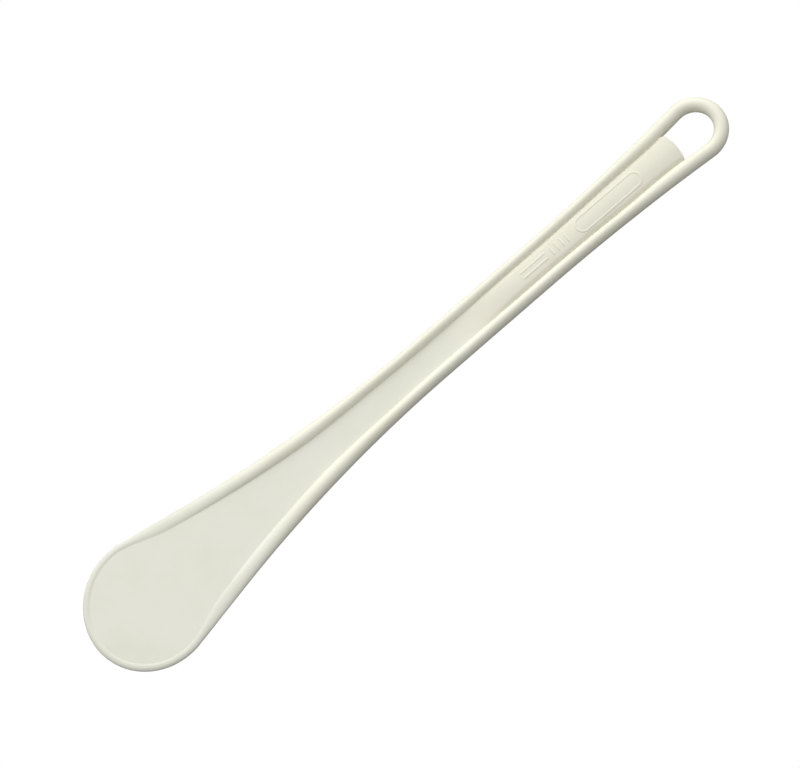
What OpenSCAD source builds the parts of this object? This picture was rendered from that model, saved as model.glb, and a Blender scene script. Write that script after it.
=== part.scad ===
// Mixing paddle moulded in one piece: a round flat blade, a rounded bead along both edges,
// a crowned core between the beads of the handle, and a loop of round rod to hang it by.
// X runs from the blade to the loop, Y is the width and Z the thickness.
// The paddle lies on its beads, and both faces have the same shape.

/* [Overall] */
// Length from the tip of the blade to the end of the loop
overall_l = 300; // [290:1:330]

/* [Blade] */
// Width of the round blade
blade_w = 51; // [48:1:54]
// Angle between each straight flank and the axis, in degrees
flank_angle = 11.5; // [10.5:0.5:13]
// Radius of the hollow curve that leads each flank into the handle
neck_r = 530; // [470:10:590]
// Thickness of the flat web between the beads
web_t = 1.6; // [1.2:0.1:1.8]
// Place along X where the bead reaches its full thickness
full_bead_x = -32; // [-45:1:-20]

/* [Handle] */
// Width over both beads of the straight handle
handle_w = 18.4; // [17.6:0.1:19.4]
// Place along X where the handle starts to widen towards the loop
flare_x = 60; // [50:1:75]
// Place along X where the core starts to rise from the web
core_x = 22; // [18:1:28]
// Length of the slope from the web up to the full core
core_ramp_l = 32; // [20:1:36]
// Thickness of the core at its middle
core_t = 5.1; // [4.7:0.1:5.2]
// Radius of the crown across the core
crown_r = 20; // [18:1:30]
// Length of the open space between the core and the loop's end
hole_l = 16; // [14:0.2:18]

/* [Bead and loop] */
// Width of the bead along the sides of the blade
blade_bead_w = 5.8; // [5.4:0.1:6.2]
// Width of the bead along the handle
handle_bead_w = 4.5; // [4.2:0.1:5]
// Width of the rod that forms the loop
rod_w = 5.5; // [5.2:0.1:5.8]
// Thickness of the bead and the rod
bead_t = 5.5; // [5.5:0.1:6.4]
// Width of the rounded edge round the tip of the blade
tip_edge_w = 3.3; // [2.8:0.1:3.8]
// Thickness of the rounded edge round the tip of the blade
tip_edge_t = 2; // [2:0.1:2.4]
// Width over the hanging loop
loop_w = 25.5; // [24.5:0.5:27.5]

/* [Raised marks] */
// Height of the plain raised marks on the handle's front face
mark_h = 0.15; // [0.1:0.05:0.15]
// Width of each raised line
mark_line_w = 0.8; // [0.6:0.1:1]
// Length of the raised oval
oval_l = 31; // [24:1:34]
// Width of the raised oval
oval_w = 7; // [5.6:0.2:7.4]

/* [Hidden] */
ivory = [0.91, 0.90, 0.84];
ivory_light = [0.95, 0.94, 0.89];
ivory_shade = [0.84, 0.83, 0.76];

// Steps along each stretch of the outline, and round the bead's section
TIP_STEPS = 22;
LINE_STEPS = 8;
NECK_STEPS = 16;
FLARE_STEPS = 8;
LOOP_STEPS = 18;
RING_STEPS = 20;
// Rounds in which the height and the place of a seam are made to agree
SEAM_ROUNDS = 10;

mid_z = bead_t / 2;
blade_r = blade_w / 2;
handle_r = handle_w / 2;
loop_r = loop_w / 2;
// The blade's round tip, and where the low edge round it starts to grow into the bead
tip_cx = blade_r - overall_l / 2;
flank_x = tip_cx + blade_r * sin(flank_angle);
flank_y = blade_r * cos(flank_angle);
bead_start_x = tip_cx + blade_r / 8;
// Lengths over which the bead widens on the blade, slims in the neck and widens into the rod
widening_l = 20;
slimming_l = 45;
rod_blend_l = 28;
// Places along X where the slimming and the widening into the rod are complete
slim_x = -5;
rod_x = 124;
// The neck's arc leaves the flank at its angle and ends along the handle
neck_start_y = handle_r + neck_r * (1 - cos(flank_angle));
neck_start_x = flank_x + (flank_y - neck_start_y) / tan(flank_angle);
neck_cx = neck_start_x + neck_r * sin(flank_angle);
// The flare's arc touches both the straight handle and the circle of the loop
loop_cx = overall_l / 2 - loop_r;
flare_l = loop_cx - flare_x;
flare_r = (flare_l * flare_l / (loop_r - handle_r) - loop_r - handle_r) / 2;
flare_angle = asin(flare_l / (flare_r + loop_r));
// The core ends in a shallow curve at the hole
core_bulge = 1;
core_end_x = overall_l / 2 - rod_w - hole_l;
core_seam_x = core_end_x - core_bulge;
core_seam_angle = acos((flare_x - core_seam_x) / flare_r);
ramp_slope = (core_t - web_t) / 2 / core_ramp_l;

// Evenly spaced values from a to b, which may be numbers or stations
function along(a, b, steps) = [for (i = [0:steps]) a + (b - a) * i / steps];
function ease(t) = let (k = min(1, max(0, t))) k * k * (3 - 2 * k);
function mix(a, b, t) = a + (b - a) * t;
function skip_first(list) = [for (i = [1:len(list) - 1]) list[i]];

// A station is [x, y, angle of the outward normal] on the outer edge. A hollow arc has r < 0.
function arc(cx, cy, r, from, to, steps) =
    [for (v = along(from, to, steps)) [cx + r * cos(v), cy + r * sin(v), v]];

tip_arc = arc(tip_cx, 0, blade_r, 180 + 90 + flank_angle, 90 - flank_angle, TIP_STEPS);
flank_line = along([flank_x, flank_y, 90 - flank_angle],
                   [neck_start_x, neck_start_y, 90 - flank_angle], LINE_STEPS);
neck_arc = arc(neck_cx, handle_r + neck_r, -neck_r, 90 - flank_angle, 90, NECK_STEPS);
handle_line = along([max(neck_cx, core_x), handle_r, 90], [flare_x, handle_r, 90], LINE_STEPS);
flare_arc = arc(flare_x, handle_r + flare_r, -flare_r, 90, core_seam_angle, FLARE_STEPS);
side_path = concat(flank_line, skip_first(neck_arc), handle_line, skip_first(flare_arc));
leg_arc = arc(flare_x, handle_r + flare_r, -flare_r, core_seam_angle, 90 + flare_angle, 2);
loop_arc = arc(loop_cx, 0, loop_r, 90 + flare_angle, -90 - flare_angle, LOOP_STEPS);
loop_path = concat(leg_arc, skip_first(loop_arc), skip_first(mirrored(leg_arc)));

// The same stations on the other side, in the opposite order
function mirrored(path) =
    [for (i = [len(path) - 1:-1:0]) [path[i].x, -path[i].y, -path[i].z]];

// Half width and half thickness of the bead, which shrinks towards the tip
function blade_w_at(x) = mix(tip_edge_w, blade_bead_w, ease((x - bead_start_x) / widening_l));
function handle_w_at(x) =
    mix(blade_w_at(x), handle_bead_w, ease((x - slim_x + slimming_l) / slimming_l));
function half_w(x) = mix(handle_w_at(x), rod_w, ease((x - rod_x + rod_blend_l) / rod_blend_l)) / 2;
function half_t(x) =
    mix(tip_edge_t, bead_t, ease((x - bead_start_x) / (full_bead_x - bead_start_x))) / 2;

// Half thickness of the web, the slope and the crown at a place on the plan
function crown_half_t(y) = core_t / 2 - crown_r + sqrt(crown_r * crown_r - y * y);
function ramp_half_t(x) = web_t / 2 + max(0, x - core_x) * ramp_slope;
function face_half_t(p) =
    p.x < core_x ? web_t / 2 : min(ramp_half_t(p.x), crown_half_t(p.y));

// A bead meets the web or the core at a vertical seam, where both are equally thick
function seam_angle(station, t) = asin(t / half_t(station.x));
function inward(station, angle) = let (d = half_w(station.x) * (1 + cos(angle)))
    [station.x - d * cos(station.z), station.y - d * sin(station.z)];
function seam_half_t(station, t, rounds) = rounds == 0 ? t
    : seam_half_t(station, face_half_t(inward(station, seam_angle(station, t))), rounds - 1);
function settled_angle(station) =
    seam_angle(station, seam_half_t(station, web_t / 2, SEAM_ROUNDS));
function seam_points(path) = [for (s = path) inward(s, settled_angle(s))];

// The bead's section at a station, from one seam round the outside to the other
function section(station, start) = [
    for (v = along(start, 360 - start, RING_STEPS)) let (p = inward(station, v))
        [p.x, p.y, mid_z + half_t(station.x) * sin(v)]
];
function rod_section(station) =
    [for (v = along(0, 360 - 360 / RING_STEPS, RING_STEPS - 1)) let (p = inward(station, v))
        [p.x, p.y, mid_z + half_t(station.x) * sin(v)]];

// A solid through a row of rings that all have the same number of points
module sweep(rings) {
    count = len(rings[0]);
    last = len(rings) - 1;
    sides = [
        for (i = [0:last - 1], j = [0:count - 1]) let (k = (j + 1) % count)
            [i * count + j, i * count + k, (i + 1) * count + k, (i + 1) * count + j]
    ];
    first_cap = [for (j = [count - 1:-1:0]) j];
    last_cap = [for (j = [0:count - 1]) last * count + j];
    polyhedron([for (ring = rings) each ring], concat(sides, [first_cap, last_cap]));
}

module bead(path) {
    sweep([for (s = path) section(s, settled_angle(s))]);
}

// A plate of the given plan outline, thicker than any part of the paddle
module plan(points) {
    linear_extrude(bead_t)
        polygon(points);
}

// A bar across the paddle whose side view is the given outline of X and half thickness
module side_view(points) {
    lower = [for (i = [len(points) - 1:-1:0]) [points[i].x, -points[i].y]];
    translate([0, blade_w / 2, mid_z])
        rotate([90, 0, 0])
            linear_extrude(blade_w)
                polygon(concat(points, lower));
}

// Everything under the crown of the front face, raised by the given height
module under_crown(raise) {
    translate([0, 0, mid_z + core_t / 2 - crown_r])
        rotate([0, 90, 0])
            cylinder(h = overall_l / 2, r = crown_r + raise, $fn = 96);
}

module blade_panel() {
    side = [for (s = side_path) if (s.x < core_x) s];
    edge = concat(seam_points(mirrored(side)), skip_first(seam_points(tip_arc)),
                  skip_first(seam_points(side)));
    joint_y = seam_points([[core_x, handle_r, 90]])[0].y;
    color(ivory)
        translate([0, 0, mid_z - web_t / 2])
            linear_extrude(web_t)
                polygon(concat([[core_x, -joint_y]], edge, [[core_x, joint_y]]));
}

module tip_edge() {
    color(ivory_shade)
        bead(tip_arc);
}

module left_rim() {
    color(ivory_light)
        bead(side_path);
}

module right_rim() {
    color(ivory_light)
        bead(mirrored(side_path));
}

module handle_core() {
    side = [for (s = side_path) if (s.x >= core_x) s];
    shoulder = inward(side[len(side) - 1], 0);
    bulge = core_end_x - shoulder.x;
    end_r = (shoulder.y * shoulder.y + bulge * bulge) / (2 * bulge);
    half_angle = asin(shoulder.y / end_r);
    end_arc = [for (v = along(half_angle, -half_angle, LINE_STEPS))
        [core_end_x - end_r + end_r * cos(v), end_r * sin(v)]];
    color(ivory)
        intersection() {
            plan(concat(seam_points(mirrored(side)), seam_points(side), end_arc));
            side_view([for (x = [core_x, core_x + core_ramp_l, core_end_x])
                [x, min(core_t / 2, ramp_half_t(x))]]);
            under_crown(0);
            translate([0, 0, bead_t])
                mirror([0, 0, 1])
                    under_crown(0);
        }
}

module hang_loop() {
    color(ivory_light)
        sweep([for (s = loop_path) rod_section(s)]);
}

// A thin layer over the core's front face, cut to the shape of its children
module on_crown() {
    intersection() {
        linear_extrude(bead_t + mark_h)
            children();
        difference() {
            under_crown(mark_h);
            under_crown(0);
        }
    }
}

module stadium(length, width) {
    square([length - width, width], center = true);
    for (side = [-1, 1])
        translate([side * (length - width) / 2, 0])
            circle(d = width, $fn = 48);
}

module raised_oval() {
    oval_x = flare_x + 36.5;
    color(ivory_shade)
        on_crown()
            translate([oval_x, 0])
                difference() {
                    stadium(oval_l, oval_w);
                    stadium(oval_l - 2 * mark_line_w, oval_w - 2 * mark_line_w);
                }
}

// Two long thin bars and a row of short cross bars beside the oval
module raised_bars() {
    long_bar = 12;
    cross_bar = 4;
    pitch = 2.4;
    first_x = flare_x - 5;
    color(ivory_shade)
        on_crown() {
            for (side = [-1, 1])
                translate([first_x + long_bar / 2, side * pitch / 2])
                    square([long_bar, mark_line_w], center = true);
            for (i = [0:3])
                translate([first_x + long_bar + (i + 1) * pitch, 0])
                    square([mark_line_w, cross_bar], center = true);
        }
}

blade_panel();
tip_edge();
left_rim();
right_rim();
handle_core();
hang_loop();
raised_oval();
raised_bars();
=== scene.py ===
import math

import bpy
import numpy as np
from mathutils import Matrix, Vector


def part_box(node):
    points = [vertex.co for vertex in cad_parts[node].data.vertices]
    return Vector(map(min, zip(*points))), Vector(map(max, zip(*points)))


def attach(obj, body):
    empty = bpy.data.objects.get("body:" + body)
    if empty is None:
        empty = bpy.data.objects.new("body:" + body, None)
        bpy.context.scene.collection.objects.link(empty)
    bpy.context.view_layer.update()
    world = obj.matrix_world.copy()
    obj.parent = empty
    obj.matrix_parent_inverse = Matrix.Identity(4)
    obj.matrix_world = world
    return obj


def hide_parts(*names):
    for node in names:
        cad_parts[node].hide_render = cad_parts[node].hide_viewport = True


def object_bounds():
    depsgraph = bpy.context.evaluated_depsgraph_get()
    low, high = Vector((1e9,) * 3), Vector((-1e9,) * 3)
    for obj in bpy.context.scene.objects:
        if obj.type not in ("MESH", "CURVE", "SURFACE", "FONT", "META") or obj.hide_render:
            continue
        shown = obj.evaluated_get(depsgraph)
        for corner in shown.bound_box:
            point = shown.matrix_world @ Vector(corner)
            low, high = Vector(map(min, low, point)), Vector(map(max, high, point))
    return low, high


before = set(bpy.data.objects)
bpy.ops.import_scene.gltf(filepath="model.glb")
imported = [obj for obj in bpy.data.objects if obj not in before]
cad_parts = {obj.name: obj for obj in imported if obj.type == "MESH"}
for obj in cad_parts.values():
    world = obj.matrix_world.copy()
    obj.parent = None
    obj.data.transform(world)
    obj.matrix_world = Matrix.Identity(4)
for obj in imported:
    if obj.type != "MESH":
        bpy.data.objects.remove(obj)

cad_low, cad_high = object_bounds()

# ---------------------------------------------------------------- sizes, in metres and radians
MM = 0.001

tip_low, tip_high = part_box("tip_edge")
loop_low, loop_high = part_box("hang_loop")
core_low, core_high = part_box("handle_core")
web_low, web_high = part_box("blade_panel")
oval_low, oval_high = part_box("raised_oval")
bars_low, bars_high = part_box("raised_bars")

MID_Z = (cad_low.z + cad_high.z) / 2
TIP_X = cad_low.x
END_X = cad_high.x
BLADE_R = (tip_high.y - tip_low.y) / 2
LOOP_R = (loop_high.y - loop_low.y) / 2
CORE_X = core_low.x
CORE_END_X = core_high.x

# Outline: flanks tangent to the tip's circle, a hollow neck, a straight handle, a flare
FLANK_ANGLE = math.radians(11.5)
NECK_R = 530 * MM
HANDLE_R = 9.2 * MM
FLARE_X = 60 * MM

# Bead: a low edge round the tip, wide on the blade, slim on the handle, wider again as the rod
TIP_HALF_W = 1.65 * MM
BLADE_HALF_W = 2.9 * MM
HANDLE_HALF_W = 2.25 * MM
ROD_HALF_W = 2.75 * MM
TIP_HALF_T = (tip_high.z - tip_low.z) / 2
BEAD_HALF_T = (cad_high.z - cad_low.z) / 2
TIP_CX = TIP_X + BLADE_R
BEAD_START_X = TIP_CX + BLADE_R / 8
FULL_BEAD_X = -32 * MM
WIDENING_L = 20 * MM
SLIMMING_L = 45 * MM
SLIM_X = -5 * MM
ROD_BLEND_L = 28 * MM
FULL_ROD_X = 124 * MM

# Web and core between the beads
WEB_HALF_T = (web_high.z - web_low.z) / 2
CORE_HALF_T = (core_high.z - core_low.z) / 2
CROWN_R = 20 * MM
RAMP_L = 32 * MM

# Where the beads give way to the closed rod, beside the end of the core
CORNER_R = 1.8 * MM
ROD_X = CORE_END_X - CORNER_R - 1.5 * MM

# Fillets in the grooves beside the beads
BLADE_FILLET_R = 1.5 * MM
NECK_FILLET_R = 0.15 * MM
LAST_FILLET_R = 0.1 * MM
FILLET_BLEND_L = 60 * MM
LAST_FILLET_L = 10 * MM

# End of the core at the hole, which has corners of CORNER_R
END_BULGE = 1.0 * MM
END_ROUNDING = 0.35 * MM
TUCK = 0.3 * MM

# Edges of the crown, which fall away into the grooves
SHOULDER_W = 1.6 * MM
SHOULDER_DROP = 0.6 * MM

# Spacing along the outline, counts round the sections, and rounds of the fillet's search
STEP = 0.9 * MM
BEAD_SEGMENTS = 44
FILLET_SEGMENTS = 7
ROD_SEGMENTS = 64
CROSS_SEGMENTS = 56
CORNER_SEGMENTS = 26
FOOT_ROUNDS = 6
ANGLE_ROUNDS = 24


def ease(t):
    k = np.clip(t, 0, 1)
    return k * k * (3 - 2 * k)


def mix(a, b, t):
    return a + (b - a) * t


# ---------------------------------------------------------------- outline
# A station is (x, y, angle of the outward normal) on the outer edge of the bead.

def arc(cx, cy, radius, start, end):
    """Stations on an arc. A hollow arc has a negative radius."""
    count = max(2, math.ceil(abs(radius * (end - start)) / STEP) + 1)
    angle = np.linspace(start, end, count)
    return np.stack([cx + radius * np.cos(angle), cy + radius * np.sin(angle), angle], axis=1)


def straight(start, end, angle):
    count = max(2, math.ceil(math.dist(start, end) / STEP) + 1)
    places = np.linspace(start, end, count)
    return np.column_stack([places, np.full(count, angle)])


def side_outline():
    """Stations along the +Y side, from the tip of the blade to the end of the loop."""
    up = math.pi / 2
    lean = up - FLANK_ANGLE
    flank = (TIP_CX + BLADE_R * math.sin(FLANK_ANGLE), BLADE_R * math.cos(FLANK_ANGLE))
    neck_y = HANDLE_R + NECK_R * (1 - math.cos(FLANK_ANGLE))
    neck = (flank[0] + (flank[1] - neck_y) / math.tan(FLANK_ANGLE), neck_y)
    neck_cx = neck[0] + NECK_R * math.sin(FLANK_ANGLE)
    loop_cx = END_X - LOOP_R
    flare_l = loop_cx - FLARE_X
    flare_r = (flare_l**2 / (LOOP_R - HANDLE_R) - LOOP_R - HANDLE_R) / 2
    spread = math.asin(flare_l / (flare_r + LOOP_R))
    stretches = [
        arc(TIP_CX, 0, BLADE_R, math.pi, lean),
        straight(flank, neck, lean),
        arc(neck_cx, HANDLE_R + NECK_R, -NECK_R, lean, up),
        straight((neck_cx, HANDLE_R), (FLARE_X, HANDLE_R), up),
        arc(FLARE_X, HANDLE_R + flare_r, -flare_r, up, up + spread),
        arc(loop_cx, 0, LOOP_R, up + spread, 0),
    ]
    joined = [stretches[0]] + [stretch[1:] for stretch in stretches[1:]]
    return np.concatenate(joined), len(stretches[0]) - 1


LEFT, TIP_COUNT = side_outline()
ROD_COUNT = int(np.argmax(LEFT[:, 0] > ROD_X))
RIGHT = LEFT[-2:0:-1] * np.array([1, -1, -1])
OUTLINE = np.concatenate([LEFT, RIGHT])


def stations(first, last):
    """The closed outline's stations from first to last, with one more at each end."""
    return OUTLINE[np.arange(first - 1, last + 2) % len(OUTLINE)]


# ---------------------------------------------------------------- sections
def inward(station, distance):
    x, y, angle = station
    return x - distance * math.cos(angle), y - distance * math.sin(angle)


def half_w(x):
    blade = mix(TIP_HALF_W, BLADE_HALF_W, ease((x - BEAD_START_X) / WIDENING_L))
    handle = mix(blade, HANDLE_HALF_W, ease((x - SLIM_X + SLIMMING_L) / SLIMMING_L))
    return mix(handle, ROD_HALF_W, ease((x - FULL_ROD_X + ROD_BLEND_L) / ROD_BLEND_L))


# Innermost line of the +Y bead along the handle
HANDLE_STATIONS = LEFT[(LEFT[:, 0] > 0) & (LEFT[:, 0] < CORE_END_X + 2 * MM)]
INNER_X, INNER_Y = np.array([inward(s, 2 * half_w(s[0])) for s in HANDLE_STATIONS]).T


def half_t(x):
    return mix(TIP_HALF_T, BEAD_HALF_T, ease((x - BEAD_START_X) / (FULL_BEAD_X - BEAD_START_X)))


def face_height(x, y):
    """Height of the web or the core's crown above the middle plane."""
    crown = CORE_HALF_T - CROWN_R + np.sqrt(np.maximum(CROWN_R**2 - y**2, 0))
    into_groove = (np.abs(y) - np.interp(x, INNER_X, INNER_Y)) / SHOULDER_W + 1
    crown = crown - SHOULDER_DROP * np.clip(into_groove, 0, 1.2) ** 2
    return mix(WEB_HALF_T, crown, ease((x - CORE_X) / RAMP_L))


def fillet_radius(x):
    along = mix(BLADE_FILLET_R, NECK_FILLET_R, ease((x - BEAD_START_X) / FILLET_BLEND_L))
    return mix(along, LAST_FILLET_R, ease((x - ROD_X + LAST_FILLET_L) / LAST_FILLET_L))


def fillet(station):
    """(angle on the bead where the fillet starts, distance of its foot, height of its foot)"""
    a, b = half_w(station[0]), half_t(station[0])
    radius = fillet_radius(station[0])
    foot = 1.8 * a
    height = 0.0
    for _ in range(FOOT_ROUNDS):
        height = float(face_height(*inward(station, foot)))
        low, high = 0.0, math.pi / 2
        for _ in range(ANGLE_ROUNDS):
            t = (low + high) / 2
            across, upward = math.cos(t) / a, math.sin(t) / b
            top = b * math.sin(t) + radius * upward / math.hypot(across, upward)
            if top < height + radius:
                low = t
            else:
                high = t
        foot = a + a * math.cos(t) + radius * across / math.hypot(across, upward)
    return t, foot, height


def bead_section(station):
    """(distance inward, height) from the upper foot round the outside to the lower foot."""
    a, b = half_w(station[0]), half_t(station[0])
    radius = fillet_radius(station[0])
    start, foot, height = fillet(station)
    across, upward = math.cos(start) / a, math.sin(start) / b
    begin = -math.pi / 2
    finish = math.atan2(-upward, -across)
    curve = [
        (foot + radius * math.cos(v), height + radius + radius * math.sin(v))
        for v in np.linspace(begin, finish, FILLET_SEGMENTS)
    ]
    bead = [
        (a + a * math.cos(v), b * math.sin(v))
        for v in np.linspace(start, 2 * math.pi - start, BEAD_SEGMENTS)[1:-1]
    ]
    lower = [(distance, -z) for distance, z in reversed(curve)]
    return curve + bead + lower


def rod_section(station):
    a, b = half_w(station[0]), half_t(station[0])
    angles = np.linspace(0, 2 * math.pi, ROD_SEGMENTS, endpoint=False)
    return [(a + a * math.cos(v), b * math.sin(v)) for v in angles]


def ring_points(station, section):
    return [(*inward(station, distance), MID_Z + z) for distance, z in section]


# ---------------------------------------------------------------- mesh building
def unit(vectors):
    return vectors / np.maximum(np.linalg.norm(vectors, axis=-1, keepdims=True), 1e-12)


def new_object(name, points, faces, normals):
    """A mesh whose normals are given per face corner, or None for a flat face."""
    mesh = bpy.data.meshes.new(name)
    mesh.from_pydata([tuple(map(float, p)) for p in points], [], faces)
    mesh.shade_smooth()
    corners = []
    for polygon, own in zip(mesh.polygons, normals):
        flat = tuple(polygon.normal)
        corners += [flat] * polygon.loop_total if own is None else [tuple(n) for n in own]
    mesh.normals_split_custom_set(corners)
    mesh.update()
    item = bpy.data.objects.new(name, mesh)
    bpy.context.scene.collection.objects.link(item)
    return item


def smooth_object(name, points, faces):
    mesh = bpy.data.meshes.new(name)
    mesh.from_pydata([tuple(map(float, p)) for p in points], [], faces)
    mesh.shade_smooth()
    mesh.update()
    item = bpy.data.objects.new(name, mesh)
    bpy.context.scene.collection.objects.link(item)
    return item


def grid_faces(rows, columns, closed, flip=False):
    faces = []
    for i in range(rows - 1):
        for j in range(columns if closed else columns - 1):
            k = (j + 1) % columns
            face = (i * columns + j, i * columns + k, (i + 1) * columns + k, (i + 1) * columns + j)
            faces.append(face[::-1] if flip else face)
    return faces


def swept(name, path, make_section, closed):
    """A solid through the sections at the path's stations. The first and last only set normals."""
    grid = np.array([ring_points(s, make_section(s)) for s in path])
    along = grid[2:] - grid[:-2]
    rows, columns = grid.shape[0] - 2, grid.shape[1]
    if closed:
        around = (np.roll(grid, -1, axis=1) - np.roll(grid, 1, axis=1))[1:-1]
    else:
        around = np.gradient(grid, axis=1)[1:-1]
    normal = unit(np.cross(along, around)).reshape(-1, 3)
    points = grid[1:-1].reshape(-1, 3)
    faces = grid_faces(rows, columns, closed, flip=True)
    normals = [[normal[v] for v in face] for face in faces]
    if not closed:
        last = columns - 1
        walls = [
            ((i + 1) * columns + last, (i + 1) * columns, i * columns, i * columns + last)
            for i in range(rows - 1)
        ]
        faces += walls
        normals += [None] * len(walls)
    faces.append(tuple(range(columns)))
    faces.append(tuple(rows * columns - 1 - j for j in range(columns)))
    normals += [None, None]
    return new_object(name, points, faces, normals)


def plate(name, plan, height):
    """A solid between the height field and its mirror image, over a grid of plan places."""
    rows, columns = plan.shape[:2]
    upper = np.dstack([plan, MID_Z + height])
    lower = np.dstack([plan, MID_Z - height])
    along, across = np.gradient(upper, axis=0), np.gradient(upper, axis=1)
    normal = unit(np.cross(across, along)).reshape(-1, 3)
    normal *= np.sign(normal[:, 2:])
    count = rows * columns
    faces = grid_faces(rows, columns, False, flip=True)
    under = [tuple(v + count for v in face[::-1]) for face in faces]
    down = normal * np.array([1, 1, -1])
    normals = [[normal[v] for v in face] for face in faces]
    normals += [[down[v - count] for v in face] for face in under]
    rim = list(range(columns))
    rim += [i * columns + columns - 1 for i in range(1, rows)]
    rim += [(rows - 1) * columns + j for j in range(columns - 2, -1, -1)]
    rim += [i * columns for i in range(rows - 2, 0, -1)]
    walls = [
        (a, b, b + count, a + count)
        for a, b in zip(rim, rim[1:] + rim[:1])
    ]
    faces += under + walls
    normals += [None] * len(walls)
    points = np.concatenate([upper.reshape(-1, 3), lower.reshape(-1, 3)])
    return new_object(name, points, faces, normals)


# ---------------------------------------------------------------- web and core
CROSS = np.sin(np.linspace(-math.pi / 2, math.pi / 2, CROSS_SEGMENTS + 1))


def inner_edge(first, last):
    """(x, half width) of the web's edge, tucked a little under the fillets."""
    edge = [inward(s, fillet(s)[1] - TUCK) for s in LEFT[first : last + 1]]
    return np.array(edge)


def web_piece():
    last = int(np.argmax(LEFT[:, 0] >= CORE_X))
    edge = inner_edge(2, last)
    edge[-1, 0] = CORE_X
    x = np.repeat(edge[:, :1], CROSS_SEGMENTS + 1, axis=1)
    y = edge[:, 1:] * CROSS
    return plate("blade_web", np.dstack([x, y]), face_height(x, y))


def core_piece():
    """The crowned core: long rows between the beads, then rows that round its two corners."""
    first = int(np.argmax(LEFT[:, 0] >= CORE_X))
    corner_x = CORE_END_X - CORNER_R
    edge = inner_edge(first, int(np.argmax(LEFT[:, 0] > corner_x)))
    edge = edge[edge[:, 0] < corner_x - STEP / 2]
    edge[0, 0] = CORE_X
    turn = np.linspace(0, math.pi / 2, CORNER_SEGMENTS + 1)
    widest = np.interp(corner_x, edge[:, 0], edge[:, 1])
    corner = np.column_stack([
        corner_x + CORNER_R * np.sin(turn),
        widest - CORNER_R * (1 - np.cos(turn)),
    ])
    edge = np.concatenate([edge, corner])
    y = edge[:, 1:] * CROSS
    x = np.repeat(edge[:, :1], CROSS_SEGMENTS + 1, axis=1)
    near_end = ease((x - corner_x + 4 * CORNER_R) / (5 * CORNER_R))
    bulged = x - END_BULGE * near_end * (y / widest) ** 2
    height = face_height(bulged, y) - end_drop(x, np.abs(y), corner_x, widest)
    return plate("handle_crown", np.dstack([bulged, y]), height)


def end_drop(x, y, corner_x, widest):
    """How far the rounded upper edge of the core's end falls below its crown."""
    past_x = np.maximum(x - corner_x, 0)
    past_y = np.maximum(y - widest + CORNER_R, 0)
    edge_gap = CORNER_R - np.hypot(past_x, past_y)
    depth = np.clip(END_ROUNDING - edge_gap, 0, END_ROUNDING)
    drop = END_ROUNDING - np.sqrt(END_ROUNDING**2 - depth**2)
    return drop * ease((x - corner_x + CORNER_R) / CORNER_R)


# ---------------------------------------------------------------- plain raised marks
MARK_H = 0.14 * MM
MARK_LINE_W = 1.0 * MM
BAR_END_STEPS = 10
# Across a raised line: (share of the half width, share of the height)
MARK_PROFILE = ((1.2, -0.5), (1.0, 0.0), (0.8, 0.35), (0.6, 0.66), (0.3, 0.93), (0.0, 1.0))


def stadium_path(length, width, steps=28):
    """Plan places round a shape with straight sides and half-round ends, about its centre."""
    radius = width / 2
    reach = length / 2 - radius
    places = []
    for side, start in ((1, -math.pi / 2), (-1, math.pi / 2)):
        for v in np.linspace(start, start + math.pi, steps):
            places.append((side * reach + radius * math.cos(v), radius * math.sin(v)))
        for share in np.linspace(0, 1, steps)[1:-1]:
            places.append((side * reach * (1 - 2 * share), side * radius))
    return np.array(places)


def stadium_cap(first, count, steps):
    """Four-sided faces across a stadium_path ring, between places that face each other."""
    pairs = [
        (first + (steps // 2 + i) % count, first + (steps // 2 - 1 - i) % count)
        for i in range(count // 2)
    ]
    return [(a[0], b[0], b[1], a[1]) for a, b in zip(pairs, pairs[1:])]


def mark_points(places, lift):
    x, y = places[:, 0], places[:, 1]
    return np.column_stack([x, y, MID_Z + face_height(x, y) + lift])


def oval_piece():
    """A raised line that follows a long oval."""
    centre = np.array([(oval_low.x + oval_high.x) / 2, 0.0])
    length, width = oval_high.x - oval_low.x, oval_high.y - oval_low.y
    profile = list(MARK_PROFILE)
    profile += [(-share, lift) for share, lift in reversed(MARK_PROFILE[:-1])]
    rings = []
    for share, lift in profile:
        inset = MARK_LINE_W * (1 - share)
        path = stadium_path(length - inset, width - inset) + centre
        rings.append(mark_points(path, lift * MARK_H))
    grid = np.array(rings)
    rows, columns = grid.shape[:2]
    faces = grid_faces(rows, columns, True)
    last = (rows - 1) * columns
    for j in range(columns):
        k = (j + 1) % columns
        faces.append((last + j, last + k, k, j))
    return smooth_object("oval_outline", grid.reshape(-1, 3), faces)


def bars_piece():
    """Two long thin bars and a row of short cross bars, each a low pad with rounded ends."""
    long_bar, cross_bar, pitch = 12 * MM, 4 * MM, 2.4 * MM
    first_x = bars_low.x
    bars = [(first_x + long_bar / 2, side * pitch / 2, long_bar, False) for side in (-1, 1)]
    bars += [(first_x + long_bar + (i + 1) * pitch, 0.0, cross_bar, True) for i in range(4)]
    points, faces = [], []
    for x, y, length, across in bars:
        base = sum(len(ring) for ring in points)
        rings = []
        for share, lift in MARK_PROFILE[:-1]:
            inset = MARK_LINE_W * (1 - share)
            path = stadium_path(length - inset, MARK_LINE_W - inset, BAR_END_STEPS)
            path = path[:, ::-1] * np.array([-1, 1]) if across else path
            rings.append(mark_points(path + np.array([x, y]), lift * MARK_H))
        columns = len(rings[0])
        faces += [tuple(v + base for v in face) for face in grid_faces(len(rings), columns, True)]
        top = base + (len(rings) - 1) * columns
        faces += stadium_cap(top, columns, BAR_END_STEPS)
        faces += [face[::-1] for face in stadium_cap(base, columns, BAR_END_STEPS)]
        points += rings
    return smooth_object("plain_bars", np.concatenate(points), faces)


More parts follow.
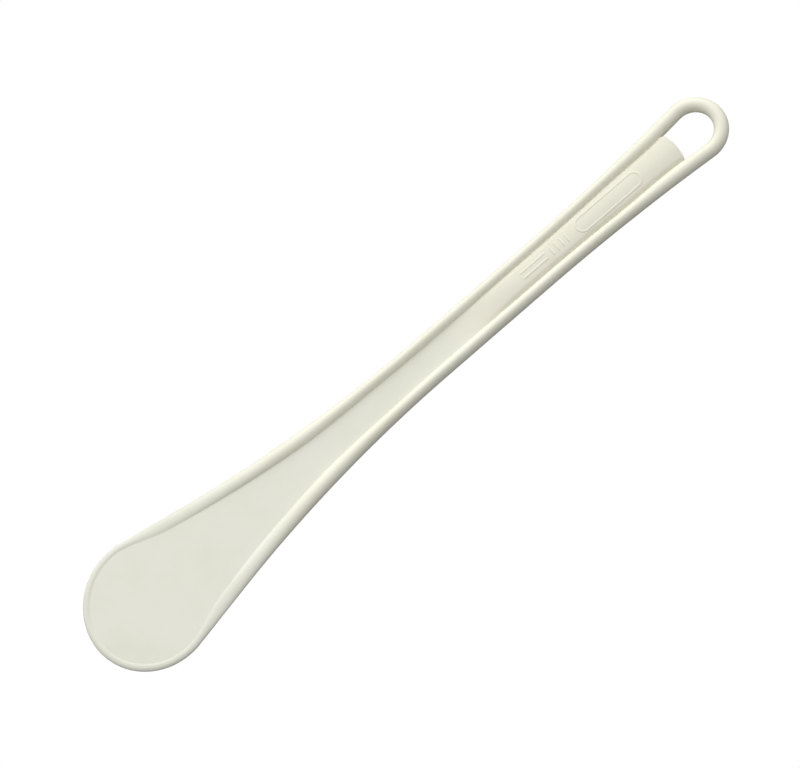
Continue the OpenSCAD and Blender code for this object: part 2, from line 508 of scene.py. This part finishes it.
# ---------------------------------------------------------------- materials
CLOUD_SCALE = 55.0
FROST_SCALE = 2600.0
RUB_SCALE = (90.0, 900.0, 900.0)
FLOW_DEPTH = 0.06 * MM
RUB_DEPTH = 0.006 * MM
ROUGHNESS_SPREAD = 0.06


def add_node(tree, kind, **settings):
    node = tree.nodes.new(kind)
    for key, value in settings.items():
        if key in node.inputs:
            node.inputs[key].default_value = value
        else:
            setattr(node, key, value)
    return node


def cloudy_tone(tree, cloud, tones):
    ramp = add_node(tree, "ShaderNodeValToRGB")
    ramp.color_ramp.elements[0].position = 0.3
    ramp.color_ramp.elements[0].color = (*tones[0], 1)
    ramp.color_ramp.elements[1].position = 0.7
    ramp.color_ramp.elements[1].color = (*tones[2], 1)
    ramp.color_ramp.elements.new(0.5).color = (*tones[1], 1)
    tree.links.new(cloud.outputs["Fac"], ramp.inputs["Fac"])
    return ramp.outputs["Color"]


def share_along(tree, place, start, end):
    """A factor that rises smoothly from 0 to 1 between two places along X."""
    split = add_node(tree, "ShaderNodeSeparateXYZ")
    tree.links.new(place.outputs["Object"], split.inputs["Vector"])
    share = add_node(tree, "ShaderNodeMapRange", interpolation_type="SMOOTHSTEP")
    share.inputs["From Min"].default_value = start
    share.inputs["From Max"].default_value = end
    tree.links.new(split.outputs["X"], share.inputs["Value"])
    return share.outputs["Result"]


def moulded_plastic(name, tip_tones, tones, roughness, grain):
    """Ivory moulded plastic: cloudy tone, fine frosted texture, faint flow marks and rub marks."""
    material = bpy.data.materials.new(name)
    material.use_nodes = True
    tree = material.node_tree
    tree.nodes.clear()
    link = tree.links.new
    output = add_node(tree, "ShaderNodeOutputMaterial")
    shader = add_node(tree, "ShaderNodeBsdfPrincipled", IOR=1.5)
    link(shader.outputs["BSDF"], output.inputs["Surface"])
    place = add_node(tree, "ShaderNodeTexCoord")

    cloud = add_node(tree, "ShaderNodeTexNoise", Scale=CLOUD_SCALE, Detail=4.0, Roughness=0.55)
    link(place.outputs["Object"], cloud.inputs["Vector"])
    tone = add_node(tree, "ShaderNodeMixRGB")
    link(share_along(tree, place, TIP_TONE_END, NECK_TONE_START), tone.inputs["Fac"])
    link(cloudy_tone(tree, cloud, tip_tones), tone.inputs["Color1"])
    link(cloudy_tone(tree, cloud, tones), tone.inputs["Color2"])
    link(tone.outputs["Color"], shader.inputs["Base Color"])

    frost = add_node(tree, "ShaderNodeTexNoise", Scale=FROST_SCALE, Detail=3.0, Roughness=0.6)
    link(place.outputs["Object"], frost.inputs["Vector"])
    rub_place = add_node(tree, "ShaderNodeMapping", Scale=RUB_SCALE)
    link(place.outputs["Object"], rub_place.inputs["Vector"])
    rub = add_node(tree, "ShaderNodeTexNoise", Scale=1.0, Detail=5.0, Roughness=0.65)
    link(rub_place.outputs["Vector"], rub.inputs["Vector"])

    gloss = add_node(tree, "ShaderNodeMapRange")
    gloss.inputs["From Min"].default_value = 0.3
    gloss.inputs["From Max"].default_value = 0.7
    gloss.inputs["To Min"].default_value = roughness - ROUGHNESS_SPREAD
    gloss.inputs["To Max"].default_value = roughness + ROUGHNESS_SPREAD
    link(rub.outputs["Fac"], gloss.inputs["Value"])
    link(gloss.outputs["Result"], shader.inputs["Roughness"])

    flow = add_node(tree, "ShaderNodeBump", Strength=1.0, Distance=FLOW_DEPTH)
    link(cloud.outputs["Fac"], flow.inputs["Height"])
    rubbed = add_node(tree, "ShaderNodeBump", Strength=1.0, Distance=RUB_DEPTH)
    link(rub.outputs["Fac"], rubbed.inputs["Height"])
    link(flow.outputs["Normal"], rubbed.inputs["Normal"])
    frosted = add_node(tree, "ShaderNodeBump", Strength=1.0, Distance=grain)
    link(frost.outputs["Fac"], frosted.inputs["Height"])
    link(rubbed.outputs["Normal"], frosted.inputs["Normal"])
    link(frosted.outputs["Normal"], shader.inputs["Normal"])
    return material


# ---------------------------------------------------------------- floor, light, camera
FLOOR_REACH = 6.0
FLOOR_GAP = 0.02 * MM
FLOOR_TONE = 0.32
FLOOR_GLOW = 1.03
FLOOR_GLOW_SHARE = 0.97
LIGHT_DIRECTION = (0.3, 0.76, 0.62)
KEY_STRENGTH = 0.72
KEY_ANGLE = math.radians(60)
SKY_EDGE = 0.1
SKY_DARK = 0.36
SKY_BRIGHT = 1.6


def floor():
    mesh = bpy.data.meshes.new("floor")
    reach = FLOOR_REACH
    corners = [(-reach, -reach, 0), (reach, -reach, 0), (reach, reach, 0), (-reach, reach, 0)]
    mesh.from_pydata(corners, [], [(0, 1, 2, 3)])
    item = bpy.data.objects.new("floor", mesh)
    bpy.context.scene.collection.objects.link(item)
    item.location.z = cad_low.z - FLOOR_GAP
    item.data.materials.append(floor_material())


def floor_material():
    """White to the camera with a faint shadow, and darker to the light that it sends back up."""
    material = bpy.data.materials.new("white_floor")
    material.use_nodes = True
    tree = material.node_tree
    tree.nodes.clear()
    output = add_node(tree, "ShaderNodeOutputMaterial")
    path = add_node(tree, "ShaderNodeLightPath")
    glow = add_node(tree, "ShaderNodeEmission", Color=(1, 1, 1, 1), Strength=FLOOR_GLOW)
    matt = add_node(tree, "ShaderNodeBsdfDiffuse", Color=(*[FLOOR_TONE] * 3, 1))
    seen = add_node(tree, "ShaderNodeMixShader")
    share = add_node(tree, "ShaderNodeMath", operation="MULTIPLY")
    share.inputs[1].default_value = FLOOR_GLOW_SHARE
    tree.links.new(path.outputs["Is Camera Ray"], share.inputs[0])
    tree.links.new(share.outputs[0], seen.inputs["Fac"])
    tree.links.new(matt.outputs["BSDF"], seen.inputs[1])
    tree.links.new(glow.outputs["Emission"], seen.inputs[2])
    tree.links.new(seen.outputs["Shader"], output.inputs["Surface"])
    return material


def lights():
    """A studio that is bright overhead and beyond the +Y side, and a weak wide key from there.

    The camera sees the studio as pale as the floor.
    """
    towards = Vector(LIGHT_DIRECTION).normalized()
    key = bpy.data.lights.new("key", "SUN")
    key.energy = KEY_STRENGTH
    key.angle = KEY_ANGLE
    item = bpy.data.objects.new("key", key)
    bpy.context.scene.collection.objects.link(item)
    item.rotation_mode = "QUATERNION"
    item.rotation_quaternion = towards.to_track_quat("Z", "Y")
    world = bpy.data.worlds.new("studio")
    world.use_nodes = True
    tree = world.node_tree
    background = tree.nodes["Background"]
    background.inputs["Color"].default_value = (1, 1, 1, 1)
    direction = add_node(tree, "ShaderNodeTexCoord")
    facing = add_node(tree, "ShaderNodeVectorMath", operation="DOT_PRODUCT")
    facing.inputs[1].default_value = towards
    strength = add_node(tree, "ShaderNodeMapRange")
    strength.inputs["From Min"].default_value = SKY_EDGE
    strength.inputs["From Max"].default_value = 1
    strength.inputs["To Min"].default_value = SKY_DARK
    strength.inputs["To Max"].default_value = SKY_BRIGHT
    tree.links.new(direction.outputs["Generated"], facing.inputs[0])
    tree.links.new(facing.outputs["Value"], strength.inputs["Value"])
    path = add_node(tree, "ShaderNodeLightPath")
    seen = add_node(tree, "ShaderNodeMix")
    seen.inputs["B"].default_value = FLOOR_GLOW
    tree.links.new(path.outputs["Is Camera Ray"], seen.inputs["Factor"])
    tree.links.new(strength.outputs["Result"], seen.inputs["A"])
    tree.links.new(seen.outputs["Result"], background.inputs["Strength"])
    bpy.context.scene.world = world


def camera():
    """Looks down on the front face from the -Y side, turned so that the loop is upper right."""
    lens, sensor = 130.0, 36.0
    frame_w = 0.2906
    tilt = math.radians(21)
    roll = math.radians(40.91)
    back = Vector((0, -math.sin(tilt), math.cos(tilt)))
    level_up = Vector((0, math.cos(tilt), math.sin(tilt)))
    along = Vector((1, 0, 0))
    right = along * math.cos(roll) - level_up * math.sin(roll)
    up = along * math.sin(roll) + level_up * math.cos(roll)
    off_centre = Vector((3.1, 2.2)) * MM
    target = Vector((0, 0, MID_Z)) - right * off_centre.x - up * off_centre.y
    data = bpy.data.cameras.new("camera")
    data.lens = lens
    data.sensor_width = sensor
    data.clip_start = 0.01
    item = bpy.data.objects.new("camera", data)
    bpy.context.scene.collection.objects.link(item)
    turn = Matrix((right, up, back)).transposed().to_4x4()
    item.matrix_world = Matrix.Translation(target + back * frame_w * lens / sensor) @ turn
    bpy.context.scene.camera = item


# ---------------------------------------------------------------- the object
camera()
floor()
lights()
bpy.context.scene.view_settings.view_transform = "Standard"

# The beads are as dull as the web round the tip. From the neck on they are painted paler than the
# web: painted light, a lit copy of the same plastic that stands in for the extra light the beads
# catch
TIP_TONE_END = TIP_CX
NECK_TONE_START = -30 * MM
WEB_TONES = ((0.70, 0.702, 0.60), (0.72, 0.72, 0.625), (0.735, 0.73, 0.65))
CORE_TONES = ((0.73, 0.72, 0.60), (0.75, 0.735, 0.615), (0.765, 0.75, 0.64))
TIP_TONES = ((0.68, 0.682, 0.585), (0.70, 0.70, 0.61), (0.715, 0.71, 0.635))
# Painted light: the web's plastic, painted paler as a lit copy
BEAD_PAINTED_LIGHT_TONES = ((0.79, 0.785, 0.65), (0.81, 0.80, 0.675), (0.825, 0.815, 0.70))
web_plastic = moulded_plastic("web_plastic", WEB_TONES, WEB_TONES, 0.5, 0.010 * MM)
core_plastic = moulded_plastic("core_plastic", WEB_TONES, CORE_TONES, 0.5, 0.010 * MM)
# Painted light: from the neck on, the beads' material is painted paler than the web's
bead_painted_light_plastic = moulded_plastic("bead_painted_light_plastic", TIP_TONES, BEAD_PAINTED_LIGHT_TONES, 0.45, 0.006 * MM)

TOTAL = len(OUTLINE)
tip_bead = swept("tip_bead", stations(-TIP_COUNT, TIP_COUNT), bead_section, False)
left_bead = swept("left_bead", stations(TIP_COUNT, ROD_COUNT), bead_section, False)
right_bead = swept(
    "right_bead", stations(TOTAL - ROD_COUNT, TOTAL - TIP_COUNT), bead_section, False
)
loop_rod = swept("loop_rod", stations(ROD_COUNT, TOTAL - ROD_COUNT), rod_section, True)
made = [
    (web_piece(), "blade_panel", "ivory_web", web_plastic),
    (core_piece(), "handle_core", "ivory_web", core_plastic),
    (tip_bead, "tip_edge", "ivory_bead", bead_painted_light_plastic),
    (left_bead, "left_rim", "ivory_bead", bead_painted_light_plastic),
    (right_bead, "right_rim", "ivory_bead", bead_painted_light_plastic),
    (loop_rod, "hang_loop", "ivory_bead", bead_painted_light_plastic),
    (oval_piece(), "raised_oval", "ivory_web", core_plastic),
    (bars_piece(), "raised_bars", "ivory_web", core_plastic),
]
for piece, node_name, slot_name, material in made:
    piece.data.materials.append(material)
    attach(piece, "root")
    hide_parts(node_name)
